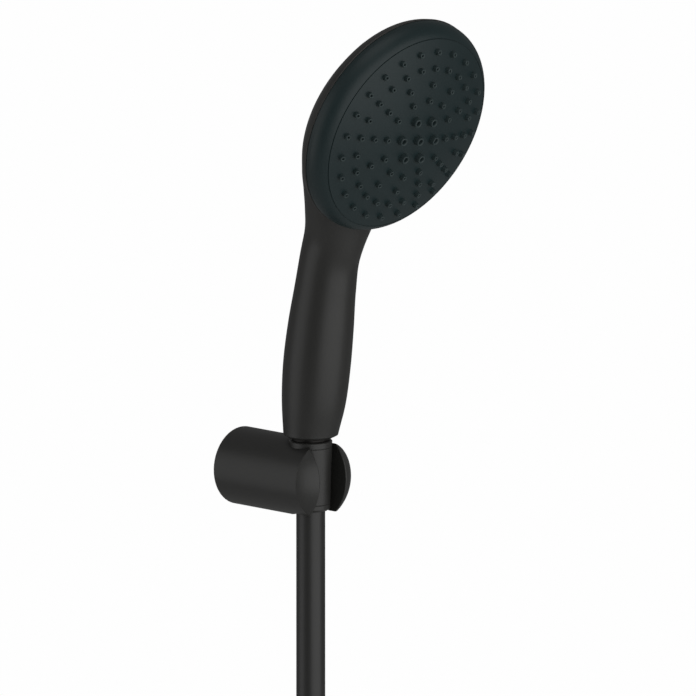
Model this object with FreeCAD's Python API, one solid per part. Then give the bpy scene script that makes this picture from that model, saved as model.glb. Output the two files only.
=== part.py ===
"""Handheld shower head on its wall holder, with its hose: one STEP file per separate piece.

Millimetres. The origin is the centre of the holder's wall face. +Z is up, the wall's outward
normal is -Y, and +X is to the right of someone who faces the wall.
"""
import FreeCAD, Part
import math
import os

V = FreeCAD.Vector
UP = V(0, 0, 1)

# ------------------------------------------------------------------ clearances and small details
running_gap = 0.08          # radial, a piece that turns or lifts in another
seat_gap = 0.05             # radial, a piece pushed or screwed into another and left there
loose_gap = 0.3             # between faces that never work against each other
edge_break = 0.6            # small moulded edge radius

# ------------------------------------------------------------------ wall holder
holder_radius = 22.2
holder_length = 66.4        # wall face to the crease where the domed end begins
dome_height = 10.0
holder_wall = 3.0
holder_recess = 24.0        # depth of the hollow that hides the wall plate
seat_offset = 56.3          # wall face to the axis of the cone seat, nut and hose
slot_width = 20.6           # front slot: the hose passes, the nut does not
plate_thickness = 4.0
plate_rim_length = 14.0
plate_rim_wall = 3.5
wall_screw_radius = 2.25
wall_screw_spacing = 22.0
countersink_radius = 4.4
countersink_depth = 2.0
grub_radius = 2.0
grub_length = 4.0
grub_offset = 9.0           # wall face to the grub screw's axis
grub_socket_radius = 1.1
grub_socket_depth = 2.2
grub_groove_depth = 1.0
handle_clearance = 1.5      # a holder that reaches up to the handle is cut away by this much round it

# ------------------------------------------------------------------ hose thread, nuts and ends
thread_radius = 9.9         # G 1/2, at its pitch diameter
thread_length = 10.0
nut_low_radius = 11.0
nut_high_radius = 12.3
nut_bottom = -18.3          # height of the cone nut's lower end
nut_height = 40.3
nut_band = 3.6              # height of the shallow band at each end of the nut
nut_groove = 0.25
washer_thickness = 2.0
flange_thickness = 1.8
flange_radius = 9.6
hose_radius = 8.25
hose_bore_radius = 5.0
ferrule_wall = 0.6
ferrule_length = 17.0
insert_bore_radius = 3.2
barb_length = 21.0
barb_count = 4
barb_height = 0.35
lower_nut_across_flats = 24.0
lower_nut_height = 20.0
lower_thread_grip = 8.0     # thread between the nut's mouth and the washer
thread_relief = 0.3         # the bore is wider by this much behind the thread

# ------------------------------------------------------------------ hose route
hose_straight_end = -131.0  # height down to which the hose hangs dead straight
coil_radius = 83.0          # centre of the tube, at the middle of a turn
coil_turns = 2
coil_pitch = 18.0           # from one turn to the next, along the coil's axis
coil_centre_height = -323.0
hose_tail_length = 104.0
tie_width = 16.0
tie_thickness = 1.6
tie_gap = 0.7

# ------------------------------------------------------------------ handset housing
handle_base = 23.6          # height of the handle's lower end
base_chamfer_radius = 12.3
shell_wall = 2.8
base_block_top = 45.0       # the handle is solid up to here, around the inlet
# height, distance of the handle's middle from the wall, radius
handle_stations = [
    (25.4, 56.4, 15.60),
    (45.0, 58.8, 18.25),
    (66.0, 61.3, 19.20),
    (88.0, 64.4, 18.75),
    (112.0, 68.3, 17.40),
    (130.0, 71.9, 16.95),
]
neck_datum = 12.8           # front rim plane to the plane from which the neck's depth is given
# along the face from its centre, depth behind the neck's datum, half width, half depth
neck_stations = [
    (-83.8, 14.4, 17.4, 17.4),
    (-65.0, 14.4, 24.8, 17.1),
    (-51.0, 14.0, 31.9, 16.5),
    (-35.0, 13.3, 40.0, 15.6),
    (-20.0, 12.6, 43.7, 14.2),
    (6.0, 10.0, 40.0, 11.5),
    (28.0, 6.0, 28.0, 8.0),
]

# ------------------------------------------------------------------ spray head
face_tilt = 19.2            # the spray face looks this far below the horizontal
face_distance = 128.3       # wall to the centre of the front rim
face_height = 209.7
head_radius = 65.0
widest_depth = 5.3          # front rim plane to where the head is widest
back_round = 14.0           # radius of the rounded side behind that
back_depth = 36.4           # front rim plane to the back of the dome
seam_gap = 0.3
housing_edge_drop = 8.3     # the housing's front edge lies this far behind the rim plane
rim_ledge_depth = 12.0
rim_ledge_radius = 57.8

plate_dome_radius = 185.5   # spray faceplate
plate_apex = 13.9
plate_wall = 2.0
plate_field_radius = 59.1
plate_field_groove = 0.5    # width of the fine groove round the field
plate_field_groove_depth = 0.3
plate_inset = 0.3           # the plate's widest place lies this far inside the head's
plate_edge_draft = 0.3      # the plate's edge runs in by this much down to the seam
plate_edge_wall = 2.0
plate_channel_top = -2.0    # the hollow between the plate's edge and its skirt ends here
skirt_radius = 60.6
skirt_wall = 2.0
skirt_depth = 10.0

mat_wall = 1.8              # silicone nozzle mat
mat_radius = 57.5
# ring radius, nozzles on the ring, and whether they are the large ones
nozzle_rings = [
    (51.5, 24, False),
    (42.4, 24, False),
    (33.2, 12, False),
    (23.9, 12, False),
    (13.0, 6, True),
    (0.0, 1, True),
]
nozzle_phase = -6.6
small_nozzle = {"base": 1.75, "tip": 1.40, "bore": 0.55, "stand": 2.4}
large_nozzle = {"base": 2.75, "tip": 2.35, "bore": 1.25, "stand": 3.2}

distributor_thickness = 2.5
distributor_front = -2.0
distributor_rim_wall = 3.4
distributor_rim_top = 0.3
socket_depth_behind = 23.0  # front rim plane to the axis of the distributor's inlet socket
socket_radius = 9.3
socket_mouth = -42.0
socket_end = -14.0
socket_port = -20.0
port_radius = 5.0
rib_count = 6
rib_height = 2.0
rib_thickness = 1.6

engine_screw_ring = 50.0
engine_screw_count = 3
engine_screw_radius = 1.4
engine_screw_length = 12.0
engine_screw_head_radius = 2.7
engine_screw_head_height = 2.0
boss_radius = 3.6

# ------------------------------------------------------------------ water inlet in the handle
connector_collar_radius = 10.8
connector_shank_radius = 9.0
connector_shank_top = 43.0
connector_bore_radius = 4.5
tube_radius = 6.5
tube_bore_radius = 5.0
tube_seat_depth = 8.0
tube_lower_corner = 52.0
tube_neck_run = 66.0
o_ring_section = 0.8
inlet_o_ring_height = 30.0
limiter_radius = 7.0
limiter_thickness = 3.4
limiter_hole_radius = 1.0
limiter_hole_count = 6
limiter_hole_ring = 4.2

# ------------------------------------------------------------------ worked-out places
nut_top = nut_bottom + nut_height
thread_end = nut_top - thread_length
washer_top = thread_end
flange_face = washer_top - washer_thickness
flange_back = flange_face - flange_thickness
hose_top = flange_back - loose_gap
seat_axis = V(0, -seat_offset, 0)
thread_bore_radius = thread_radius + seat_gap
ferrule_radius = hose_radius + ferrule_wall
nut_throat_radius = ferrule_radius + loose_gap
round_centre_radius = head_radius - back_round
round_to_back = back_depth - widest_depth
back_sphere_radius = ((round_centre_radius ** 2 + round_to_back ** 2 - back_round ** 2)
                      / (2 * (round_to_back - back_round)))
back_sphere_centre = back_sphere_radius - back_depth
plate_edge_radius = head_radius - plate_inset
distributor_radius = skirt_radius - skirt_wall - loose_gap
coil_axis_distance = seat_offset + coil_pitch * coil_turns / 2
tail_distance = seat_offset + coil_pitch * coil_turns
tail_end = coil_centre_height - hose_tail_length


# ------------------------------------------------------------------ helpers
def revolved(points):
    """A solid of revolution about Z from a closed outline of (radius, height) points."""
    wire = Part.makePolygon([V(r, 0, z) for r, z in points + points[:1]])
    return Part.Face(wire).revolve(V(0, 0, 0), UP, 360)


def revolved_edges(edges):
    """A solid of revolution about Z from the edges of a closed outline in the XZ plane."""
    return Part.Face(Part.Wire(edges)).revolve(V(0, 0, 0), UP, 360)


def ring(outer, inner, low, high):
    """A plain ring about Z between two heights."""
    return revolved([(inner, low), (outer, low), (outer, high), (inner, high)])


def rod(radius, start, end):
    """A round bar from one point to another."""
    return Part.makeCylinder(radius, start.distanceToPoint(end), start, end - start)


def line(a, b):
    return Part.LineSegment(a, b).toShape()


def arc(a, middle, b):
    return Part.Arc(a, middle, b).toShape()


def placed(shape, offset, turn=None, degrees=0.0):
    """A copy turned about the origin, then moved."""
    copy = shape.copy()
    if turn is not None:
        copy.rotate(V(0, 0, 0), turn, degrees)
    copy.translate(offset)
    return copy


def on_seat_axis(shape):
    return placed(shape, seat_axis)


def to_face(shape):
    """Moves a shape from the spray face's own frame (x right, y up the face, z out) into place."""
    return placed(shape, V(0, -face_distance, face_height), V(1, 0, 0), 90 + face_tilt)


def face_point(along, out):
    """A point on the head's middle plane, from its place up the face and out of the face."""
    tilt = math.radians(face_tilt)
    y = -face_distance - along * math.sin(tilt) - out * math.cos(tilt)
    z = face_height + along * math.cos(tilt) - out * math.sin(tilt)
    return V(0, y, z)


def sphere_height(apex, radius, r):
    """Height of a dome at distance r from its axis."""
    return apex - radius + math.sqrt(radius ** 2 - r ** 2)


def ellipse_wire(centre, half_width, half_depth, depth_direction):
    """A closed section across the handle or neck, wide along X."""
    across = V(1, 0, 0)
    if half_width > half_depth:
        curve = Part.Ellipse(centre + across * half_width, centre + depth_direction * half_depth, centre)
    else:
        curve = Part.Circle(centre, across.cross(depth_direction), half_width)
        curve.XAxis = across
    return Part.Wire(curve.toShape())


def corner_path(points, share=0.45):
    """Straight runs joined by tangent arcs. Returns the wire, its length and the arcs' radii."""
    edges, radii, at = [], [], points[0]
    for before, corner, after in zip(points, points[1:], points[2:]):
        into = (corner - before).normalize()
        out = (after - corner).normalize()
        turn = into.getAngle(out)
        shorter = min(before.distanceToPoint(corner), corner.distanceToPoint(after))
        radius = share * shorter / math.tan(turn / 2)
        start = corner - into * (share * shorter)
        end = corner + out * (share * shorter)
        inward = (out - into).normalize()
        centre = corner + inward * (radius / math.cos(turn / 2))
        edges.append(line(at, start))
        edges.append(arc(start, centre - inward * radius, end))
        radii.append(radius)
        at = end
    edges.append(line(at, points[-1]))
    wire = Part.Wire(edges)
    return wire, wire.Length, radii


def swept(points, radius):
    """A round bar along a path of straight runs and tangent arcs."""
    path, length, radii = corner_path(points)
    section = Part.Wire(Part.Circle(points[0], points[1] - points[0], radius).toShape())
    bar = path.makePipeShell([section], True, False)
    return bar, length, radii


def hose_piece(points):
    """A length of hose with its bore."""
    outside, length, radii = swept(points, hose_radius)
    inside = swept(points, hose_bore_radius)[0]
    tube = outside.cut(inside)
    section = math.pi * (hose_radius ** 2 - hose_bore_radius ** 2)
    print("hose length", round(length, 1), "arc radii", [round(r, 1) for r in radii],
          "volume ratio", round(tube.Volume / (section * length), 4))
    return tube


# ------------------------------------------------------------------ wall holder
def holder_body():
    """A thick round post off the wall, ending in a dome that a slot splits into two arms."""
    dome_sphere = (holder_radius ** 2 + dome_height ** 2) / (2 * dome_height)
    tip = holder_length + dome_height
    shoulder = sphere_height(tip, dome_sphere, holder_radius * 0.55)
    outline = [
        line(V(0, 0, 0), V(holder_radius - edge_break, 0, 0)),
        line(V(holder_radius - edge_break, 0, 0), V(holder_radius, 0, edge_break)),
        line(V(holder_radius, 0, edge_break), V(holder_radius, 0, holder_length)),
        arc(V(holder_radius, 0, holder_length), V(holder_radius * 0.55, 0, shoulder), V(0, 0, tip)),
        line(V(0, 0, tip), V(0, 0, 0)),
    ]
    body = placed(revolved_edges(outline), V(0, 0, 0), V(1, 0, 0), 90)
    recess = placed(Part.makeCylinder(holder_radius - holder_wall, holder_recess),
                    V(0, 0, 0), V(1, 0, 0), 90)
    slot = Part.makeBox(slot_width, tip, 2 * holder_radius + 2,
                        V(-slot_width / 2, -seat_offset - tip, -holder_radius - 1))
    body = body.cut(recess).cut(on_seat_axis(cone_seat())).cut(slot)
    edges = [e for e in body.Edges if on_slot_rim(e)]
    body = body.makeFillet(edge_break, edges)
    grub_hole = rod(grub_radius + seat_gap, V(0, -grub_offset, -holder_radius - 1),
                    V(0, -grub_offset, 0))
    handle_room = Part.makeCylinder(handle_stations[0][2] + handle_clearance, 2 * holder_radius,
                                    V(0, 0, handle_base - edge_break))
    return body.cut(grub_hole).cut(on_seat_axis(handle_room))


def on_slot_rim(edge):
    """Whether an edge is where a slot wall meets the domed end or the round outside."""
    box = edge.BoundBox
    flat_in_x = box.XLength < 0.01 and abs(abs(box.XMin) - slot_width / 2) < 0.01
    return flat_in_x and box.YMin < -seat_offset - slot_width / 2 and box.ZLength > 1


def nut_radius_at(height):
    """The cone nut's outer radius at a height."""
    share = (height - nut_bottom) / nut_height
    return nut_low_radius + share * (nut_high_radius - nut_low_radius)


def cone_seat():
    """The tapered bore that the cone nut drops into, cut right through the holder."""
    low, high = -holder_radius - 1, holder_radius + 1
    return revolved([(0, low), (nut_radius_at(low) + running_gap, low),
                     (nut_radius_at(high) + running_gap, high), (0, high)])


def wall_plate():
    """The cup that two countersunk screws hold to the wall, inside the holder's hollow."""
    radius = holder_radius - holder_wall - 2 * seat_gap
    inner = radius - plate_rim_wall
    groove_floor = radius - grub_groove_depth
    groove_half = grub_radius + loose_gap
    cup = revolved([
        (0, 0), (radius, 0),
        (radius, grub_offset - groove_half - grub_groove_depth),
        (groove_floor, grub_offset - groove_half),
        (groove_floor, grub_offset + groove_half),
        (radius, grub_offset + groove_half + grub_groove_depth),
        (radius, plate_rim_length), (inner, plate_rim_length),
        (inner, plate_thickness), (0, plate_thickness),
    ])
    for side in (-1, 1):
        across = side * wall_screw_spacing / 2
        hole = Part.makeCylinder(wall_screw_radius, plate_thickness, V(across, 0, 0))
        sink = Part.makeCone(wall_screw_radius, countersink_radius, countersink_depth,
                             V(across, 0, plate_thickness - countersink_depth))
        cup = cup.cut(hole).cut(sink)
    return placed(cup, V(0, 0, 0), V(1, 0, 0), 90)


def grub_screw():
    """The headless screw from below that locks the holder on its wall plate."""
    plate_radius = holder_radius - holder_wall - 2 * seat_gap
    tip = -(plate_radius - grub_groove_depth)
    bottom = tip - grub_length
    screw = rod(grub_radius, V(0, -grub_offset, bottom), V(0, -grub_offset, tip))
    return screw.cut(hexagon_prism(grub_socket_radius * 2, grub_socket_depth,
                                   V(0, -grub_offset, bottom)))


def hexagon_prism(across_flats, height, base):
    """An upright six-sided bar that stands on its base point."""
    corner = across_flats / math.sqrt(3)
    points = [base + V(corner * math.cos(math.radians(60 * i)),
                       corner * math.sin(math.radians(60 * i)), 0) for i in range(6)]
    return Part.Face(Part.makePolygon(points + points[:1])).extrude(UP * height)


# ------------------------------------------------------------------ hose and its ends
def cone_nut():
    """The tapered union nut, threaded above a shoulder that holds the hose insert's flange."""
    low_band = nut_bottom + nut_band
    high_band = nut_top - nut_band
    outline = [
        (nut_throat_radius, nut_bottom),
        (nut_low_radius - 2 * edge_break, nut_bottom),
        (nut_low_radius, nut_bottom + 2 * edge_break),
        (nut_radius_at(low_band), low_band),
        (nut_radius_at(low_band) - nut_groove, low_band + nut_groove),
        (nut_radius_at(low_band), low_band + 2 * nut_groove),
        (nut_radius_at(high_band), high_band - 2 * nut_groove),
        (nut_radius_at(high_band) - nut_groove, high_band - nut_groove),
        (nut_radius_at(high_band), high_band),
        (nut_high_radius, nut_top - edge_break),
        (nut_high_radius - edge_break, nut_top),
        (thread_bore_radius, nut_top),
        (thread_bore_radius, flange_back - running_gap),
        (nut_throat_radius, flange_back - running_gap),
    ]
    return on_seat_axis(revolved(outline))


def hose_insert():
    """The flanged brass tail: flange face at height 0, barbs up the hose above it."""
    start = flange_thickness
    step = barb_length / barb_count
    outline = [(insert_bore_radius, 0), (flange_radius, 0), (flange_radius, start)]
    for barb in range(barb_count):
        foot = start + barb * step
        outline.append((hose_bore_radius, foot))
        outline.append((hose_bore_radius - barb_height, foot + step))
    outline.append((insert_bore_radius, start + barb_length))
    return revolved(outline)


def ferrule():
    """The thin crimped sleeve round the hose's end, in the same frame as the insert."""
    low = flange_thickness + loose_gap
    return ring(ferrule_radius, hose_radius, low, low + ferrule_length)


def sealing_washer():
    """The rubber washer in front of the insert's flange."""
    return ring(thread_radius - loose_gap, insert_bore_radius, -washer_thickness, 0)


def filter_washer():
    """The upper washer, which carries a strainer that dips into the insert's bore."""
    dome = Part.makeSphere(insert_bore_radius * 1.2, V(0, 0, -insert_bore_radius * 0.6))
    hollow = Part.makeSphere(insert_bore_radius * 1.2 - 0.4, V(0, 0, -insert_bore_radius * 0.6))
    keep = Part.makeCylinder(insert_bore_radius, insert_bore_radius * 2)
    strainer = dome.cut(hollow).common(keep)
    strainer.translate(V(0, 0, -washer_thickness / 2))
    return sealing_washer().fuse(strainer).removeSplitter()


def at_upper_end(shape):
    """Turns an end fitting over, so that its hose hangs down from it, and lifts it into the nut."""
    return placed(shape, seat_axis + UP * flange_face, V(1, 0, 0), 180)


def at_lower_end(shape):
    """Sets an end fitting at the bottom of the hose's tail."""
    drop = tail_end - flange_thickness - loose_gap
    return placed(shape, V(coil_radius, -tail_distance, drop))


def lower_nut():
    """The six-sided union nut that joins the hose to a mixer's outlet."""
    shoulder = flange_thickness + running_gap
    low = -washer_thickness - lower_thread_grip
    top = low + lower_nut_height
    bar = hexagon_prism(lower_nut_across_flats, lower_nut_height, V(0, 0, low))
    corner = lower_nut_across_flats / math.sqrt(3)
    inner = lower_nut_across_flats / 2
    rounded = revolved([(0, low), (inner, low), (corner, low + (corner - inner) / 2),
                        (corner, top - 3 * (corner - inner)), (inner - 1, top), (0, top)])
    thread = Part.makeCylinder(thread_bore_radius, lower_thread_grip, V(0, 0, low))
    relief = Part.makeCylinder(thread_bore_radius + thread_relief, shoulder + washer_thickness,
                               V(0, 0, -washer_thickness))
    throat = Part.makeCylinder(nut_throat_radius, lower_nut_height, V(0, 0, low))
    return bar.common(rounded).cut(thread).cut(relief).cut(throat)


def hose_run():
    """From inside the cone nut straight down, then aside into the coil."""
    y = -seat_offset
    points = [
        V(0, y, hose_top),
        V(0, y, hose_straight_end - 25),
        V(21.8, y, hose_straight_end - 70),
        V(61.2, y, hose_straight_end - 101.5),
        V(coil_radius, y, hose_straight_end - 147),
        V(coil_radius, y, coil_centre_height),
    ]
    return hose_piece(points)


def hose_coil():
    """The outer shape of the tied turns, as one closed ring that hangs flat to the wall."""
    half = coil_pitch * coil_turns / 2
    inner, outer = coil_radius - hose_radius, coil_radius + hose_radius
    outline = [
        line(V(outer, 0, -half), V(outer, 0, half)),
        arc(V(outer, 0, half), V(coil_radius, 0, half + hose_radius), V(inner, 0, half)),
        line(V(inner, 0, half), V(inner, 0, -half)),
        arc(V(inner, 0, -half), V(coil_radius, 0, -half - hose_radius), V(outer, 0, -half)),
    ]
    return placed(revolved_edges(outline), V(0, -coil_axis_distance, coil_centre_height),
                  V(1, 0, 0), 90)


def hose_tail():
    """The short end that hangs out of the coil."""
    top = V(coil_radius, -tail_distance, coil_centre_height)
    low = V(coil_radius, -tail_distance, tail_end)
    return rod(hose_radius, top, low).cut(rod(hose_bore_radius, top, low))


def stadium(half_length, radius, height):
    """An upright bar with two flat sides and two round ends, long along Y."""
    edges = [
        line(V(radius, -half_length, 0), V(radius, half_length, 0)),
        arc(V(radius, half_length, 0), V(0, half_length + radius, 0), V(-radius, half_length, 0)),
        line(V(-radius, half_length, 0), V(-radius, -half_length, 0)),
        arc(V(-radius, -half_length, 0), V(0, -half_length - radius, 0),
            V(radius, -half_length, 0)),
    ]
    return Part.Face(Part.Wire(edges)).extrude(UP * height)


def coil_tie():
    """The strap round the turns, at the side where the hose comes in."""
    half = coil_pitch * coil_turns / 2
    inner = hose_radius + tie_gap
    strap = stadium(half, inner + tie_thickness, tie_width).cut(stadium(half, inner, tie_width))
    return placed(strap, V(coil_radius, -coil_axis_distance, coil_centre_height - tie_width / 2))


# ------------------------------------------------------------------ handset housing
def spine():
    """Centres, half sizes and depth directions of the sections, from the handle's base upward."""
    centres = [V(0, -distance, height) for height, distance, _ in handle_stations]
    halves = [(radius, radius) for _, _, radius in handle_stations]
    for along, behind, half_width, half_depth in neck_stations:
        centres.append(face_point(along, -neck_datum - behind))
        halves.append((half_width, half_depth))
    tilt = math.radians(face_tilt)
    neck_depth = V(0, math.cos(tilt), math.sin(tilt))
    directions = []
    for index in range(len(centres)):
        if index == 0:
            directions.append(V(0, 1, 0))
        elif index < len(handle_stations):
            run = centres[index + 1] - centres[index - 1]
            directions.append(V(0, run.z, -run.y).normalize())
        else:
            directions.append(neck_depth)
    return centres, halves, directions


def handle_and_neck(wall):
    """The handle and the ridge it turns into behind the head, shrunk all round by a wall."""
    sections = [ellipse_wire(centre, half[0] - wall, half[1] - wall, direction)
                for centre, half, direction in zip(*spine())]
    return Part.makeLoft(sections, True, False)


def head_back(wall):
    """The side and round back of the head, in the face's frame, shrunk by a wall."""
    radius = head_radius - wall
    sphere = back_sphere_radius - wall
    corner = back_round - wall
    lean = math.atan2(back_sphere_centre + widest_depth, round_centre_radius)
    meet = V(sphere * math.cos(lean), 0, back_sphere_centre - sphere * math.sin(lean))
    corner_middle = V(round_centre_radius + corner * math.cos(lean / 2), 0,
                      -widest_depth - corner * math.sin(lean / 2))
    half = meet.x * 0.5
    back_middle = V(half, 0, back_sphere_centre - math.sqrt(sphere ** 2 - half ** 2))
    back = V(0, 0, back_sphere_centre - sphere)
    outline = [
        line(V(0, 0, 0), V(radius, 0, 0)),
        line(V(radius, 0, 0), V(radius, 0, -widest_depth)),
        arc(V(radius, 0, -widest_depth), corner_middle, meet),
        arc(meet, back_middle, back),
        line(back, V(0, 0, 0)),
    ]
    return revolved_edges(outline)


def base_chamfer():
    """The bevelled lower end of the handle."""
    height, distance, radius = handle_stations[0]
    cone = Part.makeCone(base_chamfer_radius, radius, height - handle_base)
    return placed(cone, V(0, -distance, handle_base))


def screw_places():
    """Where the engine screws stand in the face's frame."""
    places = []
    for index in range(engine_screw_count):
        angle = math.radians(90 + 360 / engine_screw_count * index)
        places.append(V(engine_screw_ring * math.cos(angle), engine_screw_ring * math.sin(angle), 0))
    return places


def handset_housing():
    """Handle and head back as one hollow moulding, open at the front."""
    outside = handle_and_neck(0).fuse(to_face(head_back(0))).fuse(base_chamfer())
    above_block = Part.makeBox(400, 400, 400, V(-200, -350, base_block_top))
    front_half = to_face(Part.makeCylinder(head_radius + 5, 60, V(0, 0, -housing_edge_drop)))
    hollow = handle_and_neck(shell_wall).common(above_block)
    rim_hollow = Part.makeCylinder(skirt_radius + loose_gap, rim_ledge_depth + 1,
                                   V(0, 0, -rim_ledge_depth))
    cap_hollow = head_back(shell_wall).common(
        Part.makeCylinder(rim_ledge_radius, 100, V(0, 0, -100)))
    shell = outside.cut(front_half).cut(hollow)
    shell = shell.cut(to_face(rim_hollow)).cut(to_face(cap_hollow))
    inlet_bore = Part.makeCylinder(connector_shank_radius + seat_gap, base_block_top + 1 - handle_base,
                                   V(0, 0, handle_base - 0.5))
    shell = shell.cut(on_seat_axis(inlet_bore))
    boss_foot = back_sphere_centre - math.sqrt((back_sphere_radius - shell_wall / 2) ** 2
                                               - engine_screw_ring ** 2)
    boss_top = distributor_front - distributor_thickness
    for place in screw_places():
        boss = Part.makeCylinder(boss_radius, boss_top - boss_foot, place + UP * boss_foot)
        shell = shell.fuse(to_face(boss))
    for place in screw_places():
        depth = engine_screw_length + 1 - distributor_thickness
        pilot = Part.makeCylinder(engine_screw_radius + seat_gap, depth, place + UP * (boss_top - depth))
        shell = shell.cut(to_face(pilot))
    return shell


# ------------------------------------------------------------------ spray face
def dome_centre():
    return V(0, 0, plate_apex - plate_dome_radius)


def nozzle_places():
    """Unit direction from the dome's centre to each nozzle, and whether it is a large one."""
    places = []
    for radius, count, large in nozzle_rings:
        for index in range(count):
            angle = math.radians(nozzle_phase + 360 / count * index)
            rise = math.sqrt(plate_dome_radius ** 2 - radius ** 2)
            point = V(radius * math.cos(angle), radius * math.sin(angle), rise)
            places.append((point.normalize(), large))
    return places


def spray_faceplate():
    """The domed hard face with a hole for each nozzle, a bevelled rim and a skirt behind."""
    inner_dome = plate_dome_radius - plate_wall
    inner_apex = plate_apex - plate_wall
    field_mid = plate_field_radius / 2
    groove_in = plate_field_radius - plate_field_groove
    groove_z = sphere_height(plate_apex, plate_dome_radius, groove_in)
    field_z = sphere_height(plate_apex, plate_dome_radius, plate_field_radius)
    groove_floor = field_z - plate_field_groove_depth
    shoulder_run = plate_edge_radius - plate_field_radius
    shoulder_rise = field_z + widest_depth
    shoulder = (shoulder_run ** 2 + shoulder_rise ** 2) / (2 * shoulder_run)
    shoulder_turn = math.asin(shoulder_rise / shoulder) / 2
    shoulder_middle = V(plate_edge_radius - shoulder * (1 - math.cos(shoulder_turn)), 0,
                        -widest_depth + shoulder * math.sin(shoulder_turn))
    skirt_inner = skirt_radius - skirt_wall
    inner_z = sphere_height(inner_apex, inner_dome, skirt_inner)
    edge_low = seam_gap - housing_edge_drop
    edge_outer = plate_edge_radius - plate_edge_draft
    edge_inner = edge_outer - plate_edge_wall
    outline = [
        line(V(0, 0, inner_apex), V(0, 0, plate_apex)),
        arc(V(0, 0, plate_apex),
            V(field_mid, 0, sphere_height(plate_apex, plate_dome_radius, field_mid)),
            V(groove_in, 0, groove_z)),
        line(V(groove_in, 0, groove_z), V(groove_in, 0, groove_floor)),
        line(V(groove_in, 0, groove_floor), V(plate_field_radius, 0, groove_floor)),
        line(V(plate_field_radius, 0, groove_floor), V(plate_field_radius, 0, field_z)),
        arc(V(plate_field_radius, 0, field_z), shoulder_middle,
            V(plate_edge_radius, 0, -widest_depth)),
        line(V(plate_edge_radius, 0, -widest_depth), V(edge_outer, 0, edge_low)),
        line(V(edge_outer, 0, edge_low), V(edge_inner, 0, edge_low)),
        line(V(edge_inner, 0, edge_low), V(edge_inner, 0, plate_channel_top)),
        line(V(edge_inner, 0, plate_channel_top), V(skirt_radius, 0, plate_channel_top)),
        line(V(skirt_radius, 0, plate_channel_top), V(skirt_radius, 0, -skirt_depth)),
        line(V(skirt_radius, 0, -skirt_depth), V(skirt_inner, 0, -skirt_depth)),
        line(V(skirt_inner, 0, -skirt_depth), V(skirt_inner, 0, inner_z)),
        arc(V(skirt_inner, 0, inner_z),
            V(skirt_inner / 2, 0, sphere_height(inner_apex, inner_dome, skirt_inner / 2)),
            V(0, 0, inner_apex)),
    ]
    plate = revolved_edges(outline)
    holes = []
    for direction, large in nozzle_places():
        size = large_nozzle if large else small_nozzle
        start = dome_centre() + direction * (inner_dome - 1)
        holes.append(Part.makeCylinder(size["base"] + seat_gap, plate_wall + 2, start, direction))
    return to_face(plate.cut(Part.makeCompound(holes)))


def nozzle_mat():
    """The silicone mat behind the faceplate, with its rubbing nozzles standing through it."""
    outer = plate_dome_radius - plate_wall - seat_gap
    inner = outer - mat_wall
    keep = Part.makeCylinder(mat_radius, 40, V(0, 0, -10))
    mat = Part.makeSphere(outer, dome_centre()).cut(Part.makeSphere(inner, dome_centre())).common(keep)
    studs, bores = [], []
    for direction, large in nozzle_places():
        size = large_nozzle if large else small_nozzle
        foot = outer - mat_wall / 2
        reach = plate_dome_radius + size["stand"] - foot
        start = dome_centre() + direction * foot
        studs.append(Part.makeCone(size["base"], size["tip"], reach, start, direction))
        low = dome_centre() + direction * (inner - 1)
        bores.append(Part.makeCylinder(size["bore"], reach + mat_wall + 2, low, direction))
    return to_face(mat.fuse(studs).cut(Part.makeCompound(bores)))


def rim_seal():
    """The flat rubber ring between the faceplate's skirt and the ledge inside the housing."""
    return to_face(ring(skirt_radius, skirt_radius - skirt_wall, -rim_ledge_depth, -skirt_depth))


def water_distributor():
    """The inner plate: an inlet socket on its back, a rim that holds up the mat, and ribs."""
    back = distributor_front - distributor_thickness
    plate = revolved([
        (0, back), (distributor_radius, back), (distributor_radius, distributor_rim_top),
        (distributor_radius - distributor_rim_wall, distributor_rim_top),
        (distributor_radius - distributor_rim_wall, distributor_front), (0, distributor_front),
    ])
    axis_z = -socket_depth_behind
    mouth = V(0, socket_mouth, axis_z)
    end = V(0, socket_end, axis_z)
    port_foot = V(0, socket_port, axis_z)
    port_head = V(0, socket_port, distributor_front)
    solid = plate.fuse(rod(socket_radius, mouth, end))
    solid = solid.fuse(rod(port_radius + 2.5, port_foot, V(0, socket_port, back)))
    rib_start = distributor_radius * 0.3
    rib_end = distributor_radius - distributor_rim_wall
    for index in range(rib_count):
        rib = Part.makeBox(rib_end - rib_start + 1, rib_thickness, rib_height + 1,
                           V(rib_start, -rib_thickness / 2, distributor_front - 1))
        rib.rotate(V(0, 0, 0), UP, 360 / rib_count * index)
        solid = solid.fuse(rib)
    seat = rod(tube_radius + seat_gap, mouth, mouth + V(0, tube_seat_depth, 0))
    groove = o_ring_groove_cut().copy()
    groove.rotate(V(0, 0, 0), V(1, 0, 0), -90)
    groove.translate(V(0, socket_mouth + tube_seat_depth / 2, axis_z))
    way = rod(port_radius, mouth, port_foot)
    port = rod(port_radius, port_foot, port_head)
    solid = solid.cut(seat).cut(groove).cut(way).cut(port)
    for place in screw_places():
        hole = Part.makeCylinder(engine_screw_radius + loose_gap, distributor_thickness,
                                 place + UP * back)
        solid = solid.cut(hole)
    return to_face(solid)


def o_ring_groove_cut():
    """The ring-shaped room for the tube's O-ring inside the distributor's socket."""
    return ring(tube_radius + 2 * o_ring_section, tube_radius, -1.3 * o_ring_section,
                1.3 * o_ring_section)


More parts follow.
